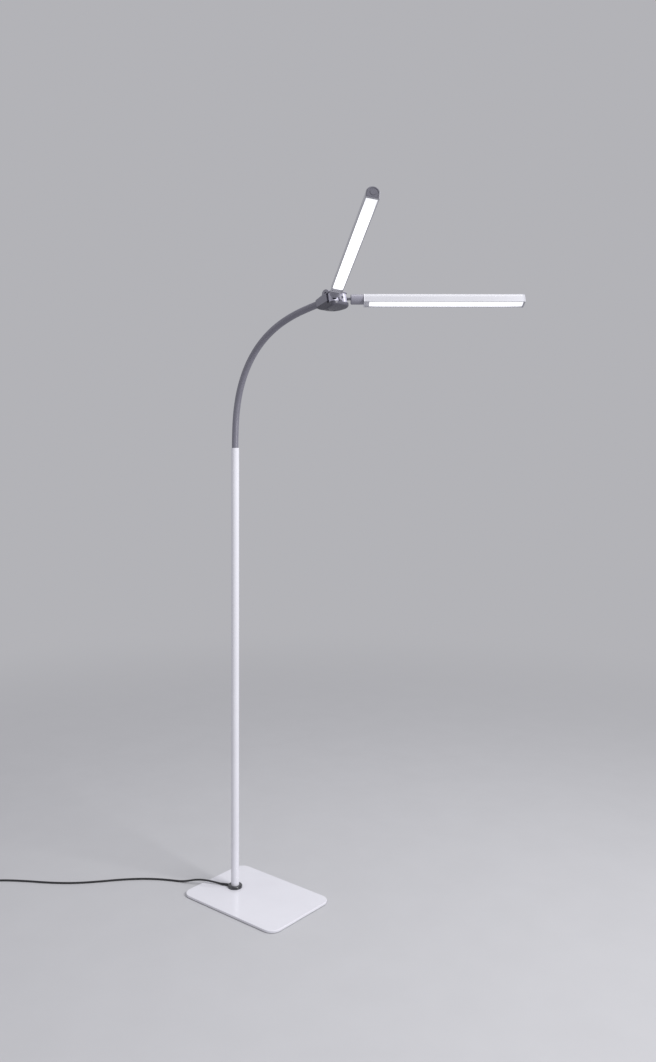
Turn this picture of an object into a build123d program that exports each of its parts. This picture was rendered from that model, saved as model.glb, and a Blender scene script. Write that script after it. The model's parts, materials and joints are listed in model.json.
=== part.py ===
from build123d import *
import os
from math import cos, pi, radians, sin, tan

# A floor lamp: steel base, pole, gooseneck and two light bars on a folding hub.
# Millimetres, +Z up. The origin is on the floor at the middle of the base, and +X points
# from the pole towards the light bars.

# Base and pole
BASE_LENGTH = 290.0
BASE_WIDTH = 200.0
BASE_CORNER = 25.0
BASE_THICKNESS = 5.0
BASE_EDGE_ROUND = 1.2
PAD_THICKNESS = 1.5
PAD_INSET = 4.0
PLATE_TOP = PAD_THICKNESS + BASE_THICKNESS
POLE_X = -69.0
POLE_TOP = 1050.0
POLE_R = 9.5
POLE_BORE_R = 8.5
POLE_SECTIONS = 3
INSERT_R = POLE_BORE_R - 0.05
COUPLER_LENGTH = 50.0
FOOT_PLUG_LENGTH = 24.0
BASE_SCREW_R = 3.0
BASE_SCREW_HEAD_R = 6.0
BASE_SCREW_TOP = 24.0
SCREW_GAP = 0.1
COLLAR_R = 17.0
COLLAR_HEIGHT = 6.0
COLLAR_ROUND = 2.5
LEAD_PASSAGE_R = 3.1

# Gooseneck: equal links, each a bent tube with a ball at its far end and a socket at its near end
NECK_LENGTH = 461.0
NECK_LINKS = 8
NECK_R = 7.5
NECK_BORE_R = 2.6
NECK_END_ELEVATION = 11.0
BEND_SPREAD = 0.8
BALL_GAP = 0.3
SPIGOT_R = 5.95
SOCKET_R = 6.0
SPIGOT_LENGTH = 30.0

# Hub, in its own frame: x along the gooseneck's end, y to the left, z up from the neck's axis
HUB_FRONT = 51.6
BARREL_SPACING = 15.0
BARREL_R = 10.5
BARREL_GAP = 0.4
LOBE_R = 12.5
POCKET_FLOOR = -13.5
POCKET_ROOF = 8.0
HUB_SPLIT = -8.0
HUB_DEPTH = 40.0
COVER_TOP = 10.5
COVER_ROUND = 1.8
HUB_SCREW_R = 1.5
HUB_SCREW_HEAD_R = 3.0
HUB_SCREW_SINK = 6.0
HUB_SCREW_SPREAD = 12.0
HUB_REAR_X = -6.0
HUB_REAR_R = 9.5
BOWL_DEEPEST = (36.0, -24.0)
BOWL_FRONT = (65.0, -19.5)
BOWL_REAR_Z = -9.0
BOWL_ROUND = 4.0
WEB_HALF = 3.6
BOSS_X = 29.3
BOSS_Z = 11.8
BOSS_R = 10.5
BOSS_HALF = 11.0
BOSS_HOLE_R = 4.8
BOSS_HOLE_DEPTH = 8.0
BOSS_SCREW_R = 2.0
PIVOT_Z = -1.7
TRUNNION_R = 4.0
WASHER_THICKNESS = 0.5

# Light bars: fold turns them about the hub's z, tilt lifts them from the hub's plane, and swivel
# rolls them about their own length
FOLD_REST = {"left": 41.6, "right": -38.2}
TILT_REST = {"left": -8.1, "right": 10.3}
SWIVEL_REST = {"left": -14.8, "right": -16.8}
TONGUE_HALF = 3.8
TONGUE_R = 5.5
SLOT_HALF = 4.05
SLOT_HALF_HEIGHT = 8.1
TILT_PIN_R = 2.0
TILT_HEAD_R = 3.2
TILT_HEAD_LENGTH = 2.0
TILT_HEAD_SINK = 0.6
STEM_R = 3.8
STEM_END = 42.0
RUNNING_GAP = 0.08
NUT_R = 7.0
NUT_LENGTH = 4.0
NUT_INSET = 0.8
NUT_GAP = 0.4
NECK_BLOCK_START = 19.0
NECK_BLOCK_R = 11.1
NECK_BLOCK_DROP = 2.2
NECK_BLOCK_ROUND = 2.0
BAR_START = 47.5
BAR_END = 400.0
BAR_R = 12.9
BAR_SKIRT = 11.3
BAR_DROP = 3.1
RAIL_ROUND = 0.6
HOUSING_WALL = 2.0
SHELF_THICKNESS = 1.5
DIFFUSER_RECESS = 2.2
DIFFUSER_THICKNESS = 1.8
DIFFUSER_CROWN = 1.0
FIT_GAP = 0.05
BOARD_WIDTH = 20.0
BOARD_THICKNESS = 1.6
CAP_DISC = 2.0
CAP_TONGUE = 10.0
CAP_PLUG = 6.0
OUTER_CAP_LENGTH = 4.5
OUTER_CAP_ROUND = 2.2
FACE_INSET = 3.0
FACE_DEPTH = 0.8
CAP_BUTTON_R = 5.5
BUTTON_GAP = 0.2
BUTTON_SEAT = 1.2
LED_COUNT = 24
LED_SIZE = 2.8
LED_HEIGHT = 0.7

# Lead: round, laid over the rear edge of the base and along the floor to a coil and a plug adapter
LEAD_R = 2.2
LEAD_ANGLE = 204.0
LEAD_AXIS_Z = PLATE_TOP + 3.0
RELIEF_START_R = 3.0
RELIEF_END_R = 2.6
RELIEF_END = 36.0
HUMP_Z = 13.1
HUMP_REACH = (62.0, 96.0)
COIL_MEAN_R = 25.0
COIL_ROWS = 3
COIL_HEADING = 228.0
TIE_WIDTH = 10.0
TIE_THICKNESS = 0.8
ADAPTER_LENGTH = 62.0
ADAPTER_WIDTH = 38.0
ADAPTER_HEIGHT = 28.0
ADAPTER_DISTANCE = 62.0
ADAPTER_RELIEF = 20.0
PRONG_LENGTH = 17.0
PRONG_SPACING = 12.7


def direction(degrees_from_x):
    return Vector(cos(radians(degrees_from_x)), sin(radians(degrees_from_x)), 0)


def rod(radius, start, end):
    """A round rod from one point to another."""
    axis = Vector(end) - Vector(start)
    return extrude(Plane(origin=start, z_dir=axis) * Circle(radius), axis.length)


def cone(start_radius, end_radius, start, end):
    axis = Vector(end) - Vector(start)
    place = Plane(origin=(Vector(start) + Vector(end)) / 2, z_dir=axis)
    return place * Cone(start_radius, end_radius, axis.length)


def pipe(outer, inner, bottom, top, x=POLE_X):
    return rod(outer, (x, 0, bottom), (x, 0, top)) - rod(inner, (x, 0, bottom), (x, 0, top))


def on_pole(z):
    return Vector(POLE_X, 0, z)


# Base

def base_plate():
    outline = RectangleRounded(BASE_LENGTH, BASE_WIDTH, BASE_CORNER)
    plate = Pos(0, 0, PAD_THICKNESS) * extrude(outline, BASE_THICKNESS)
    plate = fillet(plate.edges().group_by(Axis.Z)[-1], BASE_EDGE_ROUND)
    head_r = BASE_SCREW_HEAD_R + SCREW_GAP
    depth = BASE_SCREW_HEAD_R - BASE_SCREW_R
    plate -= cone(head_r, head_r - depth, on_pole(PAD_THICKNESS), on_pole(PAD_THICKNESS + depth))
    return plate - rod(BASE_SCREW_R + SCREW_GAP, on_pole(PAD_THICKNESS), on_pole(PLATE_TOP))


def base_pad():
    outline = RectangleRounded(
        BASE_LENGTH - 2 * PAD_INSET, BASE_WIDTH - 2 * PAD_INSET, BASE_CORNER - PAD_INSET
    )
    pad = extrude(outline, PAD_THICKNESS)
    return pad - rod(BASE_SCREW_HEAD_R + 1, on_pole(0), on_pole(PAD_THICKNESS))


def base_screw():
    depth = BASE_SCREW_HEAD_R - BASE_SCREW_R
    head = cone(BASE_SCREW_HEAD_R, BASE_SCREW_R, on_pole(PAD_THICKNESS), on_pole(PAD_THICKNESS + depth))
    screw = head + rod(BASE_SCREW_R, on_pole(PAD_THICKNESS + depth), on_pole(BASE_SCREW_TOP))
    hex_socket = extrude(RegularPolygon(BASE_SCREW_R * 0.75, 6), depth * 0.7)
    return screw - Pos(POLE_X, 0, PAD_THICKNESS) * hex_socket


def lead_slot(inner, outer, height):
    """The channel for the lead, from one radius to another on the lead's side of the pole."""
    width = 2 * LEAD_R + 0.4
    block = Box(outer - inner, width, height, align=(Align.MIN, Align.CENTER, Align.MIN))
    return Pos(POLE_X, 0, PLATE_TOP) * Rot(0, 0, LEAD_ANGLE) * Pos(inner, 0, 0) * block


def pole_foot_collar():
    collar = pipe(COLLAR_R, POLE_R + FIT_GAP, PLATE_TOP, PLATE_TOP + COLLAR_HEIGHT)
    outer_rim = collar.edges().group_by(Axis.Z)[-1].sort_by(SortBy.RADIUS)[-1]
    collar = fillet(outer_rim, COLLAR_ROUND)
    out = direction(LEAD_ANGLE)
    return collar - rod(LEAD_PASSAGE_R, on_pole(LEAD_AXIS_Z), on_pole(LEAD_AXIS_Z) + out * 2 * COLLAR_R)


# Pole

def foot_plug():
    plug = pipe(INSERT_R, BASE_SCREW_R + 0.05, PLATE_TOP, PLATE_TOP + FOOT_PLUG_LENGTH)
    return plug - lead_slot(BASE_SCREW_R + 0.7, POLE_R, FOOT_PLUG_LENGTH)


def section_heights():
    step = (POLE_TOP - PLATE_TOP) / POLE_SECTIONS
    return [PLATE_TOP + step * i for i in range(POLE_SECTIONS + 1)]


def pole_sections():
    heights = section_heights()
    names = ("pole_lower", "pole_middle", "pole_upper")
    made = {
        name: pipe(POLE_R, POLE_BORE_R, low, high)
        for name, low, high in zip(names, heights[:-1], heights[1:])
    }
    mouth = LEAD_AXIS_Z - PLATE_TOP + LEAD_R + 0.2
    made["pole_lower"] -= lead_slot(POLE_BORE_R - 2, POLE_R + 1, mouth)
    return made


def pole_couplers():
    lower, upper = section_heights()[1:-1]
    half = COUPLER_LENGTH / 2
    return {
        "pole_coupler_lower": pipe(INSERT_R, INSERT_R - 2, lower - half, lower + half),
        "pole_coupler_upper": pipe(INSERT_R, INSERT_R - 2, upper - half, upper + half),
    }


def gooseneck_bush():
    return pipe(INSERT_R, SOCKET_R, POLE_TOP - SPIGOT_LENGTH - 5, POLE_TOP - 0.5)


def pole_lead():
    """The lead inside the pole, from the collar to just under the gooseneck."""
    out = direction(LEAD_ANGLE)
    side = BASE_SCREW_R + 0.9 + LEAD_R
    route = [
        on_pole(LEAD_AXIS_Z) + out * (POLE_R + 0.1),
        on_pole(LEAD_AXIS_Z) + out * side,
        on_pole(PLATE_TOP + FOOT_PLUG_LENGTH + 12) + out * side,
        on_pole(PLATE_TOP + FOOT_PLUG_LENGTH + 60),
        on_pole(POLE_TOP - SPIGOT_LENGTH - 8),
    ]
    path = FilletPolyline(*route, radius=[2.6, 40, 40])
    return sweep(Plane(origin=path @ 0, z_dir=path % 0) * Circle(LEAD_R), path=path)


# Gooseneck

def neck_turns():
    """How many degrees each link bends, most in the middle of the neck."""
    share = [sin(pi * (i + 0.5) / NECK_LINKS) ** BEND_SPREAD for i in range(NECK_LINKS)]
    return [(90 - NECK_END_ELEVATION) * s / sum(share) for s in share]


def neck_stations():
    """Each link's start point, its start elevation, its bend and its radius, then the neck's end point."""
    stations = []
    point = Vector(POLE_X, 0, POLE_TOP)
    elevation = 90.0
    for turn in neck_turns():
        radius = NECK_LENGTH / NECK_LINKS / radians(turn)
        stations.append((point, elevation, turn, radius))
        centre = point + Vector(sin(radians(elevation)), 0, -cos(radians(elevation))) * radius
        elevation -= turn
        point = centre - Vector(sin(radians(elevation)), 0, -cos(radians(elevation))) * radius
    return stations, point


def along(elevation):
    return Vector(cos(radians(elevation)), 0, sin(radians(elevation)))


def arc_tube(station, section_radius):
    point, elevation, turn, radius = station
    centre = point + Vector(sin(radians(elevation)), 0, -cos(radians(elevation))) * radius
    section = Plane(origin=point, z_dir=along(elevation)) * Circle(section_radius)
    return revolve(section, Axis(centre, (0, 1, 0)), turn)


def neck_links():
    stations, end = neck_stations()
    ends = [s[0] for s in stations[1:]] + [end]
    links = {}
    for number, (station, far) in enumerate(zip(stations, ends), start=1):
        point, elevation, turn, _ = station
        link = arc_tube(station, NECK_R)
        if number < NECK_LINKS:
            link += Pos(far) * Sphere(NECK_R)
        if number > 1:
            link -= Pos(point) * Sphere(NECK_R + BALL_GAP)
        link -= arc_tube(station, NECK_BORE_R)
        link -= rod(NECK_BORE_R, far, far + along(elevation - turn) * 2 * NECK_R)
        links[f"gooseneck_link_{number}"] = link
    return links


def neck_spigot(point, heading):
    """The hollow end fitting of the gooseneck, which goes into the pole or into the hub."""
    spigot = rod(SPIGOT_R, point, point + heading * SPIGOT_LENGTH)
    return spigot - rod(NECK_BORE_R, point, point + heading * SPIGOT_LENGTH)


# Hub

def hub_frame():
    _, end = neck_stations()
    lift = Vector(-sin(radians(NECK_END_ELEVATION)), 0, cos(radians(NECK_END_ELEVATION)))
    return Plane(origin=end, x_dir=along(NECK_END_ELEVATION), z_dir=lift)


def hub_outline():
    """The hub from above: round at the neck, with a round lobe under each barrel."""
    rear = Pos(HUB_REAR_X + HUB_REAR_R - 1.5, 0) * Circle(HUB_REAR_R)
    lobes = [Pos(HUB_FRONT, y) * Circle(LOBE_R) for y in (-BARREL_SPACING, BARREL_SPACING)]
    edges = rear.edges() + lobes[0].edges() + lobes[1].edges()
    return make_hull(edges)


def hub_profile():
    """The hub from the side: a bowl below and a low cover above."""
    front_x, front_z = BOWL_FRONT
    rear = (HUB_REAR_X, BOWL_REAR_Z)
    bowl = ThreePointArc(rear, BOWL_DEEPEST, BOWL_FRONT)
    front = Line(BOWL_FRONT, (front_x, COVER_TOP))
    cover = Polyline((front_x, COVER_TOP), (2 * HUB_REAR_R, COVER_TOP), (HUB_REAR_X, HUB_REAR_R - 1), rear)
    return make_face(bowl.edges() + front.edges() + cover.edges())


def at_barrels(shape):
    return [Pos(HUB_FRONT, y, 0) * shape for y in (-BARREL_SPACING, BARREL_SPACING)]


def upright(radius, bottom, top):
    return rod(radius, (0, 0, bottom), (0, 0, top))


def hub_body():
    """The whole hub before it is split, in the hub's own frame."""
    body = Pos(0, 0, -30) * extrude(hub_outline(), 60)
    side = Plane.XZ * hub_profile()
    body = body & extrude(side, 40, both=True)
    body = fillet(body.edges().group_by(Axis.Z)[0], BOWL_ROUND)
    body = fillet(body.edges().group_by(Axis.Z)[-1], COVER_ROUND)
    body += rod(BOSS_R, (BOSS_X, -BOSS_HALF, BOSS_Z), (BOSS_X, BOSS_HALF, BOSS_Z))
    pocket_height = POCKET_ROOF - POCKET_FLOOR
    pocket = Pos(HUB_FRONT - BARREL_R - BARREL_GAP, 0, POCKET_FLOOR) * Box(
        60, 80, pocket_height, align=(Align.MIN, Align.CENTER, Align.MIN)
    )
    web_length = BARREL_R + LOBE_R - 4
    web = Pos(HUB_FRONT - BARREL_R - BARREL_GAP, 0, POCKET_FLOOR) * Box(
        web_length, 2 * WEB_HALF, pocket_height, align=(Align.MIN, Align.CENTER, Align.MIN)
    )
    body -= pocket - web
    for barrel_room in at_barrels(upright(BARREL_R + BARREL_GAP, POCKET_FLOOR, POCKET_ROOF)):
        body -= barrel_room
    body -= rod(NECK_R + 0.05, (-20, 0, 0), (0, 0, 0))
    body -= rod(SOCKET_R, (-1, 0, 0), (SPIGOT_LENGTH + 1, 0, 0))
    return body


def hub_screw_places():
    return [(BOSS_X, -HUB_SCREW_SPREAD), (BOSS_X, HUB_SCREW_SPREAD)]


def hub_lower_shell(body):
    shell = body & Pos(0, 0, HUB_SPLIT) * Box(200, 200, 60, align=(Align.CENTER, Align.CENTER, Align.MAX))
    for hole in at_barrels(upright(TRUNNION_R + RUNNING_GAP, POCKET_FLOOR - 4, POCKET_FLOOR + 1)):
        shell -= hole
    for x, y in hub_screw_places():
        shell -= Pos(x, y, 0) * upright(HUB_SCREW_R + SCREW_GAP, -HUB_DEPTH, HUB_SPLIT)
        shell -= Pos(x, y, 0) * upright(HUB_SCREW_HEAD_R + SCREW_GAP, -HUB_DEPTH, HUB_SPLIT - HUB_SCREW_SINK)
    return shell


def hub_upper_shell(body):
    shell = body & Pos(0, 0, HUB_SPLIT) * Box(200, 200, 60, align=(Align.CENTER, Align.CENTER, Align.MIN))
    for hole in at_barrels(upright(TRUNNION_R + RUNNING_GAP, POCKET_ROOF - 1, COVER_TOP + 1)):
        shell -= hole
    for x, y in hub_screw_places():
        shell -= Pos(x, y, 0) * upright(HUB_SCREW_R, HUB_SPLIT, 0)
    seat = -BOSS_HALF + BOSS_HOLE_DEPTH
    shell -= rod(BOSS_HOLE_R, (BOSS_X, -BOSS_HALF, BOSS_Z), (BOSS_X, seat, BOSS_Z))
    return shell - rod(BOSS_SCREW_R, (BOSS_X, seat, BOSS_Z), (BOSS_X, BOSS_HALF - 3, BOSS_Z))


def hub_cover_screws():
    screws = []
    for x, y in hub_screw_places():
        head_top = HUB_SPLIT - HUB_SCREW_SINK
        head_bottom = head_top - HUB_SCREW_R
        screw = upright(HUB_SCREW_HEAD_R, head_bottom, head_top) + upright(HUB_SCREW_R, head_top, -1)
        cross = Box(3.2, 0.8, 1.4) + Box(0.8, 3.2, 1.4)
        screws.append(Pos(x, y, 0) * (screw - Pos(0, 0, head_bottom) * cross))
    return screws


def boss_screw():
    seat = -BOSS_HALF + BOSS_HOLE_DEPTH
    head = rod(BOSS_HOLE_R - 0.4, (BOSS_X, seat - BOSS_SCREW_R, BOSS_Z), (BOSS_X, seat, BOSS_Z))
    shank = rod(BOSS_SCREW_R, (BOSS_X, seat, BOSS_Z), (BOSS_X, BOSS_HALF - 4, BOSS_Z))
    cross = Box(4.4, 1.6, 1.0) + Box(1.0, 1.6, 4.4)
    return head + shank - Pos(BOSS_X, seat - BOSS_SCREW_R, BOSS_Z) * cross


def fold_washers():
    ring = upright(BARREL_R - 1, POCKET_FLOOR, POCKET_FLOOR + WASHER_THICKNESS)
    return at_barrels(ring - upright(TRUNNION_R + RUNNING_GAP, POCKET_FLOOR, POCKET_FLOOR + WASHER_THICKNESS))


# Light bars. Each function makes its piece in the frame that it moves with: x along the bar from
# the tilt pivot, z up, and sign is +1 on the left bar and -1 on the right one.

def side_sign(side):
    return 1 if side == "left" else -1


def fold_frame(side):
    hub = hub_frame()
    origin = hub.from_local_coords((HUB_FRONT, side_sign(side) * BARREL_SPACING, PIVOT_Z))
    forward = hub.x_dir.rotate(Axis((0, 0, 0), hub.z_dir), FOLD_REST[side])
    return Plane(origin=origin, x_dir=forward, z_dir=hub.z_dir)


def tilt_frame(side):
    fold = fold_frame(side)
    hinge = Axis((0, 0, 0), fold.y_dir)
    forward = fold.x_dir.rotate(hinge, -TILT_REST[side])
    return Plane(origin=fold.origin, x_dir=forward, z_dir=fold.z_dir.rotate(hinge, -TILT_REST[side]))


def bar_frame(side):
    tilt = tilt_frame(side)
    up = tilt.z_dir.rotate(Axis((0, 0, 0), tilt.x_dir), SWIVEL_REST[side])
    return Plane(origin=tilt.origin, x_dir=tilt.x_dir, z_dir=up)


def fold_barrel(sign):
    """The upright barrel that turns in the hub, slotted for the tongue of the stem."""
    bottom = POCKET_FLOOR + WASHER_THICKNESS + 0.1 - PIVOT_Z
    top = POCKET_ROOF - BARREL_GAP - PIVOT_Z
    barrel = upright(BARREL_R, bottom, top)
    barrel = chamfer(barrel.edges().filter_by(GeomType.CIRCLE), 0.8)
    barrel += upright(TRUNNION_R, POCKET_FLOOR - 3.5 - PIVOT_Z, bottom)
    barrel += upright(TRUNNION_R, top, COVER_TOP - PIVOT_Z)
    barrel -= Pos(-TONGUE_R - 1, 0, 0) * Box(
        30, 2 * SLOT_HALF, 2 * SLOT_HALF_HEIGHT, align=(Align.MIN, Align.CENTER, Align.CENTER)
    )
    barrel -= rod(TILT_PIN_R, (0, -BARREL_R, 0), (0, BARREL_R, 0))
    head_seat = BARREL_R - TILT_HEAD_LENGTH - TILT_HEAD_SINK
    return barrel - rod(TILT_HEAD_R, (0, -sign * head_seat, 0), (0, -sign * (BARREL_R + 1), 0))


def tilt_pin(sign):
    head_seat = BARREL_R - TILT_HEAD_LENGTH - TILT_HEAD_SINK
    pin = rod(TILT_PIN_R, (0, sign * (BARREL_R - TILT_HEAD_SINK), 0), (0, -sign * head_seat, 0))
    pin += rod(TILT_HEAD_R, (0, -sign * head_seat, 0), (0, -sign * (head_seat + TILT_HEAD_LENGTH), 0))
    cross = Box(4, 1.6, 0.9) + Box(0.9, 1.6, 4)
    return pin - Pos(0, -sign * (head_seat + TILT_HEAD_LENGTH), 0) * cross


def swivel_stem():
    """The tongue in the barrel's slot, and the round stem that the neck block turns on."""
    tongue = rod(TONGUE_R, (0, -TONGUE_HALF, 0), (0, TONGUE_HALF, 0))
    tongue += Pos(4, 0, 0) * Box(8, 2 * TONGUE_HALF, 2 * TONGUE_HALF)
    stem = tongue + rod(STEM_R, (5, 0, 0), (STEM_END, 0, 0))
    return stem - rod(TILT_PIN_R + RUNNING_GAP, (0, -BARREL_R, 0), (0, BARREL_R, 0))


def stem_nut():
    start = STEM_END - NUT_INSET - NUT_LENGTH
    nut = Plane(origin=(start, 0, 0), z_dir=(1, 0, 0)) * extrude(RegularPolygon(NUT_R, 6), NUT_LENGTH)
    return nut - rod(STEM_R, (start, 0, 0), (start + NUT_LENGTH, 0, 0))


def neck_block():
    start = (NECK_BLOCK_START, 0, -NECK_BLOCK_DROP)
    block = rod(NECK_BLOCK_R, start, (BAR_START, 0, -NECK_BLOCK_DROP))
    block = fillet(block.edges().group_by(Axis.X)[0], NECK_BLOCK_ROUND)
    block -= rod(STEM_R + RUNNING_GAP, (NECK_BLOCK_START, 0, 0), (BAR_START, 0, 0))
    nut_seat = STEM_END - NUT_INSET - NUT_LENGTH - RUNNING_GAP
    return block - rod(NUT_R + NUT_GAP, (nut_seat, 0, 0), (BAR_START, 0, 0))


def bar_outline(radius, skirt):
    """The bar's section: a half circle on top and straight sides below it."""
    arch = ThreePointArc((-radius, 0), (0, radius), (radius, 0))
    sides = Polyline((radius, 0), (radius, -skirt), (-radius, -skirt), (-radius, 0))
    return make_face(arch.edges() + sides.edges())


def along_bar(section, start, end):
    """A section carried along the bar, with the section's origin on the middle of the arch."""
    place = Plane(origin=(start, 0, -BAR_DROP), x_dir=(0, 1, 0), z_dir=(1, 0, 0))
    return extrude(place * section, end - start)


def rounded_outline(radius, skirt):
    outline = bar_outline(radius, skirt)
    return fillet(outline.vertices().group_by(Axis.Y)[0], RAIL_ROUND)


def slab(width, bottom, top):
    return Pos(0, bottom) * Rectangle(width, top - bottom, align=(Align.CENTER, Align.MIN))


def inner_r():
    return BAR_R - HOUSING_WALL


def end_plug(start, end):
    """The half-round plug that holds a cap in the housing, above the shelf."""
    plug = bar_outline(inner_r() - 2 * FIT_GAP, 1.0) & slab(3 * BAR_R, FIT_GAP, 2 * BAR_R)
    return along_bar(plug, start, end)


def inner_end_cap():
    """The cap on the neck block, with a tongue that fills the end of the diffuser's opening."""
    inside = BAR_START + CAP_DISC
    plate = along_bar(rounded_outline(BAR_R, BAR_SKIRT), BAR_START, inside)
    width = 2 * (inner_r() - FIT_GAP)
    tongue = slab(width, DIFFUSER_RECESS - BAR_SKIRT, -SHELF_THICKNESS - FIT_GAP)
    return plate + along_bar(tongue, inside, inside + CAP_TONGUE) + end_plug(inside, inside + CAP_PLUG)


def housing_span():
    return BAR_START + CAP_DISC, BAR_END - OUTER_CAP_LENGTH


def light_housing():
    section = rounded_outline(BAR_R, BAR_SKIRT) - bar_outline(inner_r(), BAR_SKIRT + 1)
    shelf = slab(2 * BAR_R - HOUSING_WALL, -SHELF_THICKNESS, 0)
    return along_bar(section + shelf, *housing_span())


def light_diffuser():
    """The opal strip between the housing's rails, a little crowned."""
    start = BAR_START + CAP_DISC + CAP_TONGUE
    half = inner_r() - FIT_GAP
    outside = DIFFUSER_RECESS - BAR_SKIRT
    crown = ThreePointArc((-half, outside), (0, outside - DIFFUSER_CROWN), (half, outside))
    top = outside + DIFFUSER_THICKNESS
    sides = Polyline((half, outside), (half, top), (-half, top), (-half, outside))
    return along_bar(make_face(crown.edges() + sides.edges()), start, BAR_END - OUTER_CAP_LENGTH)


def board_span():
    return BAR_START + CAP_DISC + CAP_TONGUE, BAR_END - OUTER_CAP_LENGTH - CAP_PLUG


def led_board():
    board = slab(BOARD_WIDTH, -SHELF_THICKNESS - BOARD_THICKNESS, -SHELF_THICKNESS)
    return along_bar(board, *board_span())


def led_chips():
    start, end = board_span()
    pitch = (end - start) / LED_COUNT
    top = -BAR_DROP - SHELF_THICKNESS - BOARD_THICKNESS
    chip = Box(LED_SIZE, LED_SIZE, LED_HEIGHT, align=(Align.CENTER, Align.CENTER, Align.MAX))
    return [Pos(start + pitch * (i + 0.5), 0, top) * chip for i in range(LED_COUNT)]


def outer_end_cap():
    """The cap at the bar's far end: a rounded rim, a sunk face and a round seat in it."""
    start = BAR_END - OUTER_CAP_LENGTH
    cap = along_bar(bar_outline(BAR_R, BAR_SKIRT), start, BAR_END)
    cap = fillet(cap.edges().group_by(Axis.X)[-1], OUTER_CAP_ROUND)
    sunk_face = bar_outline(BAR_R - FACE_INSET, BAR_SKIRT - FACE_INSET)
    cap -= along_bar(sunk_face, BAR_END - FACE_DEPTH, BAR_END)
    cap -= along_bar(Circle(CAP_BUTTON_R + BUTTON_GAP), start + BUTTON_SEAT, BAR_END)
    return cap + end_plug(start - CAP_PLUG, start)


def cap_button():
    return along_bar(Circle(CAP_BUTTON_R), BAR_END - OUTER_CAP_LENGTH + BUTTON_SEAT, BAR_END - BUTTON_GAP)


def bar_nodes(side):
    sign = side_sign(side)
    fold = fold_frame(side).location
    tilt = tilt_frame(side).location
    bar = bar_frame(side).location
    made = {
        "fold_barrel": fold * fold_barrel(sign),
        "tilt_pin": fold * tilt_pin(sign),
        "swivel_stem": tilt * swivel_stem(),
        "stem_nut": tilt * stem_nut(),
        "neck_block": bar * neck_block(),
        "inner_end_cap": bar * inner_end_cap(),
        "light_housing": bar * light_housing(),
        "light_diffuser": bar * light_diffuser(),
        "led_board": bar * led_board(),
        "led_chips": [bar * chip for chip in led_chips()],
        "outer_end_cap": bar * outer_end_cap(),
        "cap_button": bar * cap_button(),
    }
    return {f"{side}_{name}": shape for name, shape in made.items()}


# Lead, coil and plug adapter

def lead_route():
    """The lead's points from the strain relief, over the base's rear edge, to the coil."""
    out = direction(LEAD_ANGLE)
    on_base = [on_pole(LEAD_AXIS_Z) + out * RELIEF_END]
    on_base += [on_pole(HUMP_Z) + out * reach for reach in HUMP_REACH]
    on_floor = [
        (-191, -54), (-230, -72), (-272, -99), (-313, -138), (-350, -184), (-388, -226),
        (-435, -262), (-489, -294), (-540, -330), coil_entry(),
    ]
    return on_base + [Vector(x, y, LEAD_R) for x, y in on_floor]


def coil_entry():
    return (-578.0, -372.0)


def corner_radii(route):
    """As large an arc at each corner as its two runs allow."""
    radii = []
    for a, b, c in zip(route[:-2], route[1:-1], route[2:]):
        turn = (b - a).get_angle(c - b)
        radii.append(0.45 * min((b - a).length, (c - b).length) / tan(radians(turn / 2)))
    return radii


def power_lead():
    route = lead_route()
    path = FilletPolyline(*route, radius=corner_radii(route))
    return sweep(Plane(origin=path @ 0, z_dir=path % 0) * Circle(LEAD_R), path=path)


def coil_centre():
    x, y = coil_entry()
    return Vector(x, y, 0) + direction(COIL_HEADING + 90) * (COIL_MEAN_R + 2 * LEAD_R)


def lead_coil():
    half = COIL_ROWS * LEAD_R
    section = Pos(COIL_MEAN_R, half) * RectangleRounded(2 * half, 2 * half, LEAD_R)
    return Pos(coil_centre()) * revolve(Plane.XZ * section, Axis.Z, 360)


def coil_tie():
    """The band round one side of the coil, drawn tight into it."""
    size = 2 * COIL_ROWS * LEAD_R
    outer = RectangleRounded(size + 1.6, size + TIE_THICKNESS, LEAD_R)
    inner = RectangleRounded(size + 0.2, size - TIE_THICKNESS, LEAD_R)
    band = extrude(Plane.XZ * (outer - inner), TIE_WIDTH / 2, both=True)
    middle = Vector(0, 0, (size + TIE_THICKNESS) / 2)
    place = coil_centre() - direction(COIL_HEADING) * COIL_MEAN_R + middle
    return Pos(place) * Rot(0, 0, COIL_HEADING) * band


def adapter_frame():
    x, y = coil_entry()
    place = Vector(x, y, 0) + direction(COIL_HEADING) * ADAPTER_DISTANCE
    return Plane(origin=place, x_dir=direction(COIL_HEADING), z_dir=(0, 0, 1))


def tail_height():
    return (2 * COIL_ROWS - 1) * LEAD_R


def lead_tail():
    """The short stretch from the top of the coil to the adapter's strain relief."""
    x, y = coil_entry()
    start = Vector(x, y, tail_height()) + direction(COIL_HEADING) * 2 * LEAD_R
    end = adapter_frame().from_local_coords((-ADAPTER_RELIEF, 0, tail_height()))
    return rod(LEAD_R, start, end)


def power_adapter():
    body = Box(ADAPTER_LENGTH, ADAPTER_WIDTH, ADAPTER_HEIGHT, align=(Align.MIN, Align.CENTER, Align.MIN))
    body = fillet(body.edges().filter_by(Axis.X), 6)
    body = fillet(body.faces().sort_by(Axis.X)[-1].edges(), 2)
    return adapter_frame().location * body


def adapter_relief():
    place = adapter_frame()
    tip = place.from_local_coords((-ADAPTER_RELIEF, 0, tail_height()))
    root = place.from_local_coords((0, 0, tail_height()))
    return cone(LEAD_R + 0.4, LEAD_R + 1.8, tip, root)


def adapter_prongs():
    prong = Box(PRONG_LENGTH, 1.5, 6.4, align=(Align.MIN, Align.CENTER, Align.CENTER))
    place = adapter_frame().location
    half = PRONG_SPACING / 2
    return [place * Pos(ADAPTER_LENGTH, y, ADAPTER_HEIGHT / 2) * prong for y in (-half, half)]


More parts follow.
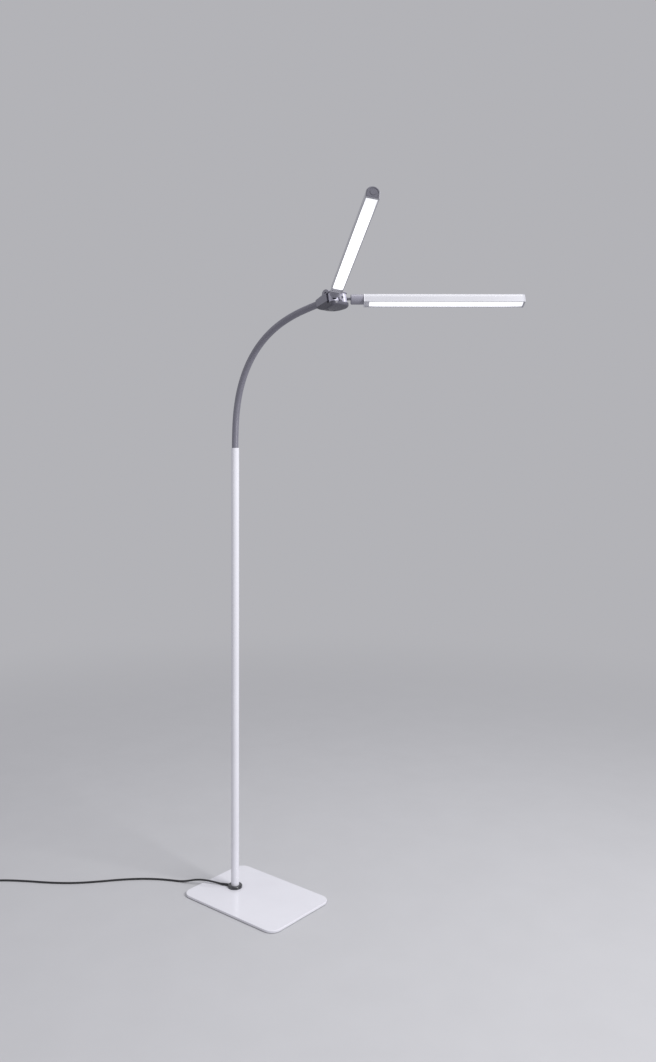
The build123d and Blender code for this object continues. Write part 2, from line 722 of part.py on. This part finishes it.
def strain_relief():
    out = direction(LEAD_ANGLE)
    start = on_pole(LEAD_AXIS_Z) + out * (POLE_R + 0.1)
    return cone(RELIEF_START_R, RELIEF_END_R, start, on_pole(LEAD_AXIS_Z) + out * RELIEF_END)


def all_nodes():
    stations, neck_end = neck_stations()
    frame = hub_frame()
    body = hub_body()
    nodes = {
        "base_plate": base_plate(),
        "base_pad": base_pad(),
        "base_screw": base_screw(),
        "pole_foot_collar": pole_foot_collar(),
        "pole_foot_plug": foot_plug(),
        "pole_lead": pole_lead(),
        "gooseneck_bush": gooseneck_bush(),
        "gooseneck_lower_spigot": neck_spigot(on_pole(POLE_TOP), Vector(0, 0, -1)),
        "gooseneck_upper_spigot": neck_spigot(neck_end, along(NECK_END_ELEVATION)),
        "hub_lower_shell": frame.location * hub_lower_shell(body),
        "hub_upper_shell": frame.location * hub_upper_shell(body),
        "hub_cover_screws": [frame.location * s for s in hub_cover_screws()],
        "hub_boss_screw": frame.location * boss_screw(),
        "fold_washers": [frame.location * w for w in fold_washers()],
        "lead_strain_relief": strain_relief(),
        "power_lead": power_lead(),
        "lead_coil": lead_coil(),
        "lead_coil_tie": coil_tie(),
        "lead_tail": lead_tail(),
        "adapter_strain_relief": adapter_relief(),
        "power_adapter": power_adapter(),
        "adapter_prongs": adapter_prongs(),
    }
    nodes.update(pole_sections())
    nodes.update(pole_couplers())
    nodes.update(neck_links())
    for side in ("left", "right"):
        nodes.update(bar_nodes(side))
    return nodes


def write(nodes):
    os.makedirs("parts", exist_ok=True)
    for name, shape in nodes.items():
        if isinstance(shape, list):
            shape = Compound(children=shape)
        export_step(shape, f"parts/{name}.step")


write(all_nodes())
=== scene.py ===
import json
from math import cos, pi, radians, sin

import bmesh
import bpy
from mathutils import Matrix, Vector


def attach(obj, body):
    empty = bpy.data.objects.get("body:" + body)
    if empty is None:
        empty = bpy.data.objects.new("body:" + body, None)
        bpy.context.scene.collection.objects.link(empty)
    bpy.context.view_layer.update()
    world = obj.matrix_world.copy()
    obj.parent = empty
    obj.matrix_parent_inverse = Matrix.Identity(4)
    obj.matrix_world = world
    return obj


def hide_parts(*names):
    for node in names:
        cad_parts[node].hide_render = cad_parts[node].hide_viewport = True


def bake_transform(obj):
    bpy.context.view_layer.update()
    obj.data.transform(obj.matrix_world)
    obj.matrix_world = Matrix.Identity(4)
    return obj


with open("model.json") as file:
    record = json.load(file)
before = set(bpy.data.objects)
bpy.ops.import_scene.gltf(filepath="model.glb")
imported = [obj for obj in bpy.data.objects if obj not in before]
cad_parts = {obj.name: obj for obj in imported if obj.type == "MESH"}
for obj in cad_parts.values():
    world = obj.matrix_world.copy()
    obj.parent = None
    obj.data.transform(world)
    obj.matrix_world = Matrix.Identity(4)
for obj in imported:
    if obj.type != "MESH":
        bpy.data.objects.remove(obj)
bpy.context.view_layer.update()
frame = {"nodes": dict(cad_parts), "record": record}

MM = 0.001
JOINTS = {joint["name"]: joint for joint in frame["record"]["behaviour"]["joints"]}

# The camera stands level, with the view shifted down to take in the whole lamp. The first
# three are in pixels of the photograph, the place in metres and the azimuth in degrees.
IMAGE_HEIGHT = 1062
FOCAL_PIXELS = 946
HORIZON_ABOVE_CENTRE = 86
CAMERA_PLACE = Vector((1.532, -1.595, 1.057))
CAMERA_AZIMUTH = 39.5
SENSOR = 36.0

# Driving sizes of the CAD model, in metres and degrees
NECK_LENGTH = 0.461
NECK_LINKS = 8
NECK_R = 0.0075
NECK_END_ELEVATION = 11.0
BEND_SPREAD = 0.8
LEAD_R = 0.0022
COIL_MEAN_R = 0.025
COIL_HEADING = 228.0


# Camera

def make_camera():
    data = bpy.data.cameras.new("camera")
    data.sensor_width = SENSOR
    data.lens = FOCAL_PIXELS / IMAGE_HEIGHT * SENSOR
    data.shift_y = -HORIZON_ABOVE_CENTRE / IMAGE_HEIGHT
    data.clip_end = 200
    camera = bpy.data.objects.new("camera", data)
    camera.location = CAMERA_PLACE
    camera.rotation_euler = (pi / 2, 0, radians(CAMERA_AZIMUTH))
    bpy.context.collection.objects.link(camera)
    bpy.context.scene.camera = camera


make_camera()


# Materials

# Parts of a noise's factor over which a colour and a roughness run from low to high
TONE_SPAN = (0.35, 0.65)
GLOSS_SPAN = (0.3, 0.7)
# Noise scales of the colour's patches and the roughness's smears
PATCH_SCALE = 8.0
SMEAR_SCALE = 25.0
COAT_ROUGHNESS = 0.12


def ramp(nodes, links, source, low, high):
    """A colour ramp on a noise's factor, from one colour to another."""
    node = nodes.new("ShaderNodeValToRGB")
    for element, position, colour in zip(node.color_ramp.elements, TONE_SPAN, (low, high)):
        element.position = position
        element.color = (*colour, 1)
    links.new(source, node.inputs["Fac"])
    return node.outputs["Color"]


def noise(nodes, links, vector, scale, detail=4.0):
    node = nodes.new("ShaderNodeTexNoise")
    node.inputs["Scale"].default_value = scale
    node.inputs["Detail"].default_value = detail
    links.new(vector, node.inputs["Vector"])
    return node.outputs["Fac"]


def spread_value(nodes, links, source, low, high):
    node = nodes.new("ShaderNodeMapRange")
    node.inputs["From Min"].default_value = GLOSS_SPAN[0]
    node.inputs["From Max"].default_value = GLOSS_SPAN[1]
    node.inputs["To Min"].default_value = low
    node.inputs["To Max"].default_value = high
    links.new(source, node.inputs["Value"])
    return node.outputs["Result"]


def surface(name, colour, vary=0.04, rough=(0.4, 0.5), grain=900.0, depth=0.00002, metallic=0.0,
            coat=0.0, stretch=(1, 1, 1)):
    """A finished material: colour that drifts a little, roughness that smears, a fine grain."""
    material = bpy.data.materials.new(name)
    material.use_nodes = True
    nodes, links = material.node_tree.nodes, material.node_tree.links
    shader = nodes["Principled BSDF"]
    place = nodes.new("ShaderNodeTexCoord").outputs["Object"]
    mapping = nodes.new("ShaderNodeMapping")
    mapping.inputs["Scale"].default_value = stretch
    links.new(place, mapping.inputs["Vector"])
    vector = mapping.outputs["Vector"]
    low = [c * (1 - vary) for c in colour]
    high = [min(1.0, c * (1 + vary)) for c in colour]
    tone = ramp(nodes, links, noise(nodes, links, vector, PATCH_SCALE), low, high)
    links.new(tone, shader.inputs["Base Color"])
    gloss = spread_value(nodes, links, noise(nodes, links, vector, SMEAR_SCALE), *rough)
    links.new(gloss, shader.inputs["Roughness"])
    bump = nodes.new("ShaderNodeBump")
    bump.inputs["Strength"].default_value = 1.0
    bump.inputs["Distance"].default_value = depth
    links.new(noise(nodes, links, vector, grain, 2.0), bump.inputs["Height"])
    links.new(bump.outputs["Normal"], shader.inputs["Normal"])
    shader.inputs["Metallic"].default_value = metallic
    shader.inputs["Coat Weight"].default_value = coat
    shader.inputs["Coat Roughness"].default_value = COAT_ROUGHNESS
    return material


# Share of full strength at each distance from the hub's left fold pivot, in metres
GLOW_STOPS = ((0.055, 0.35), (0.080, 1.0), (0.355, 1.0), (0.400, 0.35))
GLOW_PATCH_SCALE = 60.0
GLOW_LOW = 0.95


def glowing(name, colour, strength):
    """Opal plastic lit from behind, a little uneven and dimmer towards each bar's two ends."""
    material = surface(name, (0.9, 0.9, 0.92), vary=0.02, rough=(0.35, 0.45))
    nodes, links = material.node_tree.nodes, material.node_tree.links
    shader = nodes["Principled BSDF"]
    place = nodes.new("ShaderNodeTexCoord").outputs["Object"]
    low = [c * GLOW_LOW for c in colour]
    glow = ramp(nodes, links, noise(nodes, links, place, GLOW_PATCH_SCALE), low, colour)
    links.new(glow, shader.inputs["Emission Color"])
    reach = nodes.new("ShaderNodeVectorMath")
    reach.operation = "DISTANCE"
    reach.inputs[1].default_value = JOINTS["left_fold"]["pos_m"]
    links.new(place, reach.inputs[0])
    fade = nodes.new("ShaderNodeValToRGB")
    fade.color_ramp.interpolation = "B_SPLINE"
    while len(fade.color_ramp.elements) < len(GLOW_STOPS):
        fade.color_ramp.elements.new(0.5)
    for element, (distance, level) in zip(fade.color_ramp.elements, GLOW_STOPS):
        element.position = distance
        element.color = (level, level, level, 1)
    links.new(reach.outputs["Value"], fade.inputs["Fac"])
    power = nodes.new("ShaderNodeMath")
    power.operation = "MULTIPLY"
    power.inputs[1].default_value = strength
    links.new(fade.outputs["Color"], power.inputs[0])
    links.new(power.outputs["Value"], shader.inputs["Emission Strength"])
    return material


DARK_LOOK = {"colour": (0.08, 0.078, 0.10), "vary": 0.1, "rough": (0.34, 0.46), "grain": 1600}

WHITE_PAINT = surface("white_paint", (0.74, 0.735, 0.79), vary=0.015, rough=(0.16, 0.24),
                      grain=700, depth=0.00004, coat=0.5)
GREY_SLEEVE = surface("grey_sleeve", (0.19, 0.185, 0.225), vary=0.08, rough=(0.30, 0.42))
DARK_PLASTIC = surface("dark_grey_plastic", **DARK_LOOK)
GREY_PLASTIC = surface("grey_plastic", (0.235, 0.23, 0.275), vary=0.06, rough=(0.28, 0.40),
                       grain=1600)
# The fold barrels' plastic: the hub's grey plastic made paler, a painted highlight for the light
# that falls on the knuckles
KNUCKLE_HIGHLIGHT_PLASTIC = surface("knuckle_painted_highlight", (0.43, 0.42, 0.51), vary=0.05, rough=(0.22, 0.32),
                  grain=1600, coat=0.3)
CAP_PLASTIC = surface("light_grey_plastic", (0.62, 0.615, 0.66), vary=0.05, rough=(0.28, 0.40),
                      grain=1600)
HOUSING = surface("white_aluminium", (0.48, 0.48, 0.515), vary=0.02, rough=(0.25, 0.34),
                  grain=1200)
STEEL = surface("steel", (0.26, 0.26, 0.29), vary=0.05, rough=(0.34, 0.46), metallic=1.0,
                stretch=(1, 1, 12))
RUBBER = surface("black_rubber", (0.018, 0.018, 0.02), vary=0.15, rough=(0.32, 0.46))
BLACK_PLASTIC = surface("black_plastic", (0.02, 0.02, 0.023), vary=0.12, rough=(0.4, 0.55),
                        grain=1500, depth=0.00006)
COLLAR = surface("gloss_black_plastic", (0.022, 0.022, 0.026), vary=0.1, rough=(0.07, 0.13),
                 grain=700, coat=0.8)
BOARD = surface("board", (0.7, 0.7, 0.7), vary=0.05, rough=(0.4, 0.5))
LED = surface("led", (0.85, 0.7, 0.25), vary=0.05, rough=(0.2, 0.3))
DIFFUSER = glowing("diffuser", (0.97, 0.975, 1.0), 1.3)

CAP_RIM_COLOUR = (0.40, 0.40, 0.44, 1)
# How far a face must look along the bar's axis to turn from the rim's colour to the dark one
CAP_FACE_SPAN = (0.55, 0.85)


def two_tone(name, axis):
    """The far end cap: dark on the face that looks along the axis, and paler round its rim."""
    material = surface(name, **DARK_LOOK)
    nodes, links = material.node_tree.nodes, material.node_tree.links
    shader = nodes["Principled BSDF"]
    dark = shader.inputs["Base Color"].links[0].from_socket
    facing = nodes.new("ShaderNodeVectorMath")
    facing.operation = "DOT_PRODUCT"
    facing.inputs[1].default_value = axis
    links.new(nodes.new("ShaderNodeTexCoord").outputs["Normal"], facing.inputs[0])
    share = nodes.new("ShaderNodeMapRange")
    share.inputs["From Min"].default_value = CAP_FACE_SPAN[0]
    share.inputs["From Max"].default_value = CAP_FACE_SPAN[1]
    links.new(facing.outputs["Value"], share.inputs["Value"])
    mix = nodes.new("ShaderNodeMix")
    mix.data_type = "RGBA"
    mix.inputs["A"].default_value = CAP_RIM_COLOUR
    links.new(share.outputs["Result"], mix.inputs["Factor"])
    links.new(dark, mix.inputs["B"])
    links.new(mix.outputs["Result"], shader.inputs["Base Color"])
    return material


SLOT_MATERIALS = {
    "white_paint": WHITE_PAINT, "grey_sleeve": GREY_SLEEVE, "dark_grey_plastic": DARK_PLASTIC,
    "grey_plastic": GREY_PLASTIC, "white_aluminium": HOUSING, "steel": STEEL,
    "black_rubber": RUBBER, "black_plastic": BLACK_PLASTIC, "board": BOARD, "led": LED,
    "diffuser": DIFFUSER,
}

# Nodes that look different from the rest of their slot, by how their names end
NODE_MATERIALS = {
    "inner_end_cap": CAP_PLASTIC,
    # The fold barrels take the paler plastic that carries the painted highlight
    "fold_barrel": KNUCKLE_HIGHLIGHT_PLASTIC,
    "cap_button": DARK_PLASTIC,
    "pole_foot_collar": COLLAR,
    "left_outer_end_cap": two_tone("left_cap_plastic", JOINTS["left_swivel"]["axis"]),
    "right_outer_end_cap": two_tone("right_cap_plastic", JOINTS["right_swivel"]["axis"]),
}


def finish_cad_nodes():
    slots = {part["node"]: part["material_slot"] for part in frame["record"]["subparts"]}
    for name, node in frame["nodes"].items():
        for place in node.material_slots:
            place.material = SLOT_MATERIALS[slots[name]]
            for ending, material in NODE_MATERIALS.items():
                if name.endswith(ending):
                    place.material = material


finish_cad_nodes()


def piece(name, vertices, faces, material):
    mesh = bpy.data.meshes.new(name)
    mesh.from_pydata([tuple(v) for v in vertices], [], faces)
    mesh.shade_smooth()
    mesh.materials.append(material)
    made = bpy.data.objects.new(name, mesh)
    bpy.context.collection.objects.link(made)
    return made


# Lead

def floor_direction(degrees_from_x):
    return Vector((cos(radians(degrees_from_x)), sin(radians(degrees_from_x)), 0))


# From the collar over the rear edge of the base and across the floor, in millimetres
LEAD_ROUTE = [
    (-101.9, -14.6, 9.5), (-125.6, -25.2, 13.1), (-156.7, -39.0, 13.1), (-191, -54, 2.2),
    (-230, -72, 2.2), (-272, -99, 2.2), (-313, -138, 2.2), (-350, -184, 2.2), (-388, -226, 2.2),
    (-435, -262, 2.2), (-489, -294, 2.2), (-540, -330, 2.2),
]
COIL_ENTRY = Vector((-0.578, -0.372, 0))
# Column and layer of each turn, counted in diameters of the lead
COIL_COLUMNS = (1, 0, -1, -1, 0, 1, 1)
COIL_LAYERS = (0, 0, 0, 1, 1, 1, 2)
TURN_POINTS = 16
# Distances of the tail's points from where the coil begins
TAIL_STEPS = (0.022, 0.042)


def coil_points():
    """The turns of the coil: inwards along the first layer, outwards along the second, once on top.

    The last quarter of each turn crosses to the next turn's column and layer."""
    left = floor_direction(COIL_HEADING + 90)
    centre = COIL_ENTRY + left * (COIL_MEAN_R + 2 * LEAD_R)
    shrink = cos(pi / TURN_POINTS)
    columns = COIL_COLUMNS + COIL_COLUMNS[-1:]
    layers = COIL_LAYERS + COIL_LAYERS[-1:]
    points = []
    for i in range(len(COIL_COLUMNS) * TURN_POINTS + 1):
        turn, step = divmod(i, TURN_POINTS)
        across = max(0.0, step / TURN_POINTS * 4 - 3)
        if turn + 1 < len(columns):
            column = columns[turn] + (columns[turn + 1] - columns[turn]) * across
            layer = layers[turn] + (layers[turn + 1] - layers[turn]) * across
        else:
            column, layer = columns[turn], layers[turn]
        radius = (COIL_MEAN_R + 2 * LEAD_R * column) / shrink
        angle = COIL_HEADING - 90 + 360 * i / TURN_POINTS
        height = Vector((0, 0, LEAD_R * (1 + 2 * layer)))
        points.append(centre + floor_direction(angle) * radius + height)
    return points


def make_lead():
    tail_height = LEAD_R * (1 + 2 * COIL_LAYERS[-1])
    heading = floor_direction(COIL_HEADING)
    tail = [COIL_ENTRY + heading * d + Vector((0, 0, tail_height)) for d in TAIL_STEPS]
    points = [Vector(p) * MM for p in LEAD_ROUTE] + coil_points() + tail
    data = bpy.data.curves.new("power_lead_line", "CURVE")
    data.dimensions = "3D"
    data.bevel_depth = LEAD_R
    data.bevel_resolution = 5
    data.use_fill_caps = True
    spline = data.splines.new("NURBS")
    spline.points.add(len(points) - 1)
    for point, place in zip(spline.points, points):
        point.co = (*place, 1)
    spline.order_u = 3
    spline.use_endpoint_u = True
    spline.resolution_u = 6
    lead = bpy.data.objects.new("power_lead_line", data)
    bpy.context.collection.objects.link(lead)
    data.materials.append(RUBBER)
    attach(lead, "root")
    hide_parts("power_lead", "lead_coil", "lead_tail")


make_lead()


# Gooseneck sleeve

RIB_PITCH = 0.0024
RIB_DEPTH = 0.00012
RINGS_PER_RIB = 6
SLEEVE_SIDES = 40
SLEEVE_CLEARANCE = 0.0002
# Distances before and after each joint, in links, at which make_sleeve finds two points of the
# neck; nothing uses these points
BLEND_REACH = 0.4


def neck_turns():
    """How many radians each link bends, as the CAD model has it."""
    share = [sin(pi * (i + 0.5) / NECK_LINKS) ** BEND_SPREAD for i in range(NECK_LINKS)]
    return [radians(90 - NECK_END_ELEVATION) * s / sum(share) for s in share]


def neck_point(distance, turns, base):
    """The neck's centre and elevation at a distance along it."""
    link_length = NECK_LENGTH / NECK_LINKS
    point = Vector(base)
    elevation = pi / 2
    for turn in turns:
        run = min(distance, link_length)
        radius = link_length / turn
        end = elevation - run / radius
        point += Vector((sin(elevation) - sin(end), 0, cos(end) - cos(elevation))) * radius
        elevation = end
        distance -= run
        if distance <= 0:
            break
    return point, elevation


def sleeve_span(name, start, end):
    """A length of the ribbed sleeve, as an open tube between two distances along the neck."""
    base = JOINTS["neck_swing"]["pos_m"]
    turns = neck_turns()
    count = max(2, round((end - start) / RIB_PITCH * RINGS_PER_RIB))
    vertices, faces = [], []
    for i in range(count + 1):
        distance = start + (end - start) * i / count
        centre, elevation = neck_point(distance, turns, base)
        across = Vector((sin(elevation), 0, -cos(elevation)))
        for k in range(SLEEVE_SIDES):
            angle = 2 * pi * k / SLEEVE_SIDES
            wave = cos(2 * pi * distance / RIB_PITCH - angle)
            radius = NECK_R + SLEEVE_CLEARANCE + RIB_DEPTH * wave
            outwards = across * cos(angle) + Vector((0, 1, 0)) * sin(angle)
            vertices.append(centre + outwards * radius)
    for i in range(count):
        for k in range(SLEEVE_SIDES):
            a = i * SLEEVE_SIDES + k
            b = i * SLEEVE_SIDES + (k + 1) % SLEEVE_SIDES
            faces.append((a, a + SLEEVE_SIDES, b + SLEEVE_SIDES, b))
    return piece(name, vertices, faces, GREY_SLEEVE)


def make_sleeve():
    """A foot on the first half link, then one span round each joint.

    A span runs from the middle of one link to the middle of the next, and the last to the end."""
    link = NECK_LENGTH / NECK_LINKS
    turns = neck_turns()
    base = JOINTS["neck_swing"]["pos_m"]
    first = sleeve_span("sleeve_foot", 0.0, link / 2)
    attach(first, "neck_1")
    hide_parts("gooseneck_link_1")
    for i in range(1, NECK_LINKS):
        end = link * (i + 0.5) if i < NECK_LINKS - 1 else NECK_LENGTH
        span = sleeve_span(f"sleeve_{i}", link * (i - 0.5), end)
        before, _ = neck_point(link * (i - BLEND_REACH), turns, base)
        after, _ = neck_point(link * (i + BLEND_REACH), turns, base)
        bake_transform(span)
        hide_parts(f"gooseneck_link_{i + 1}")


make_sleeve()


# Floor, world and lights

BACKDROP = (0.45, 0.45, 0.475)
FLOOR_RADIUS = 40
FLOOR_SIDES = 96
# Distances from the lamp between which the floor passes into the backdrop
FLOOR_FADE = (0.6, 3.2)
# Name, place, target, size and power of each light
LIGHTS = (
    ("key", (2.6, 0.2, 2.4), (0, 0, 0.9), (1.2, 1.8), 88),
    ("fill", (-1.8, -2.4, 1.9), (0, 0, 0.8), (1.6, 1.6), 8),
    ("top", (0.2, 0.3, 3.4), (0.1, 0, 0), (1.8, 1.8), 20),
)


def floor_material():
    """A pale floor that passes into the backdrop's own brightness far from the lamp."""
    material = surface("floor", (0.50, 0.50, 0.52), vary=0.01, rough=(0.6, 0.7), depth=0.00001)
    nodes, links = material.node_tree.nodes, material.node_tree.links
    near = nodes["Principled BSDF"]
    far = nodes.new("ShaderNodeEmission")
    far.inputs["Color"].default_value = (*BACKDROP, 1)
    far.inputs["Strength"].default_value = 1.0
    place = nodes.new("ShaderNodeTexCoord").outputs["Object"]
    length = nodes.new("ShaderNodeVectorMath")
    length.operation = "LENGTH"
    links.new(place, length.inputs[0])
    share = nodes.new("ShaderNodeMapRange")
    share.interpolation_type = "SMOOTHSTEP"
    share.inputs["From Min"].default_value = FLOOR_FADE[0]
    share.inputs["From Max"].default_value = FLOOR_FADE[1]
    links.new(length.outputs["Value"], share.inputs["Value"])
    mix = nodes.new("ShaderNodeMixShader")
    links.new(share.outputs["Result"], mix.inputs["Fac"])
    links.new(near.outputs["BSDF"], mix.inputs[1])
    links.new(far.outputs["Emission"], mix.inputs[2])
    links.new(mix.outputs["Shader"], nodes["Material Output"].inputs["Surface"])
    return material


def make_floor():
    mesh = bpy.data.meshes.new("floor")
    bm = bmesh.new()
    bmesh.ops.create_circle(bm, cap_ends=True, radius=FLOOR_RADIUS, segments=FLOOR_SIDES)
    bm.to_mesh(mesh)
    bm.free()
    floor = bpy.data.objects.new("floor", mesh)
    bpy.context.collection.objects.link(floor)
    mesh.materials.append(floor_material())


def make_world():
    world = bpy.data.worlds.new("studio")
    bpy.context.scene.world = world
    world.use_nodes = True
    world.node_tree.nodes["Background"].inputs["Color"].default_value = (*BACKDROP, 1)
    world.node_tree.nodes["Background"].inputs["Strength"].default_value = 1.0


def area_light(name, place, target, size, power):
    data = bpy.data.lights.new(name, "AREA")
    data.shape = "RECTANGLE"
    data.size, data.size_y = size
    data.energy = power
    light = bpy.data.objects.new(name, data)
    light.location = place
    aim = Vector(target) - Vector(place)
    light.rotation_euler = aim.to_track_quat("-Z", "Y").to_euler()
    bpy.context.collection.objects.link(light)


make_floor()
make_world()
for light in LIGHTS:
    area_light(*light)
bpy.context.scene.view_settings.view_transform = "Standard"
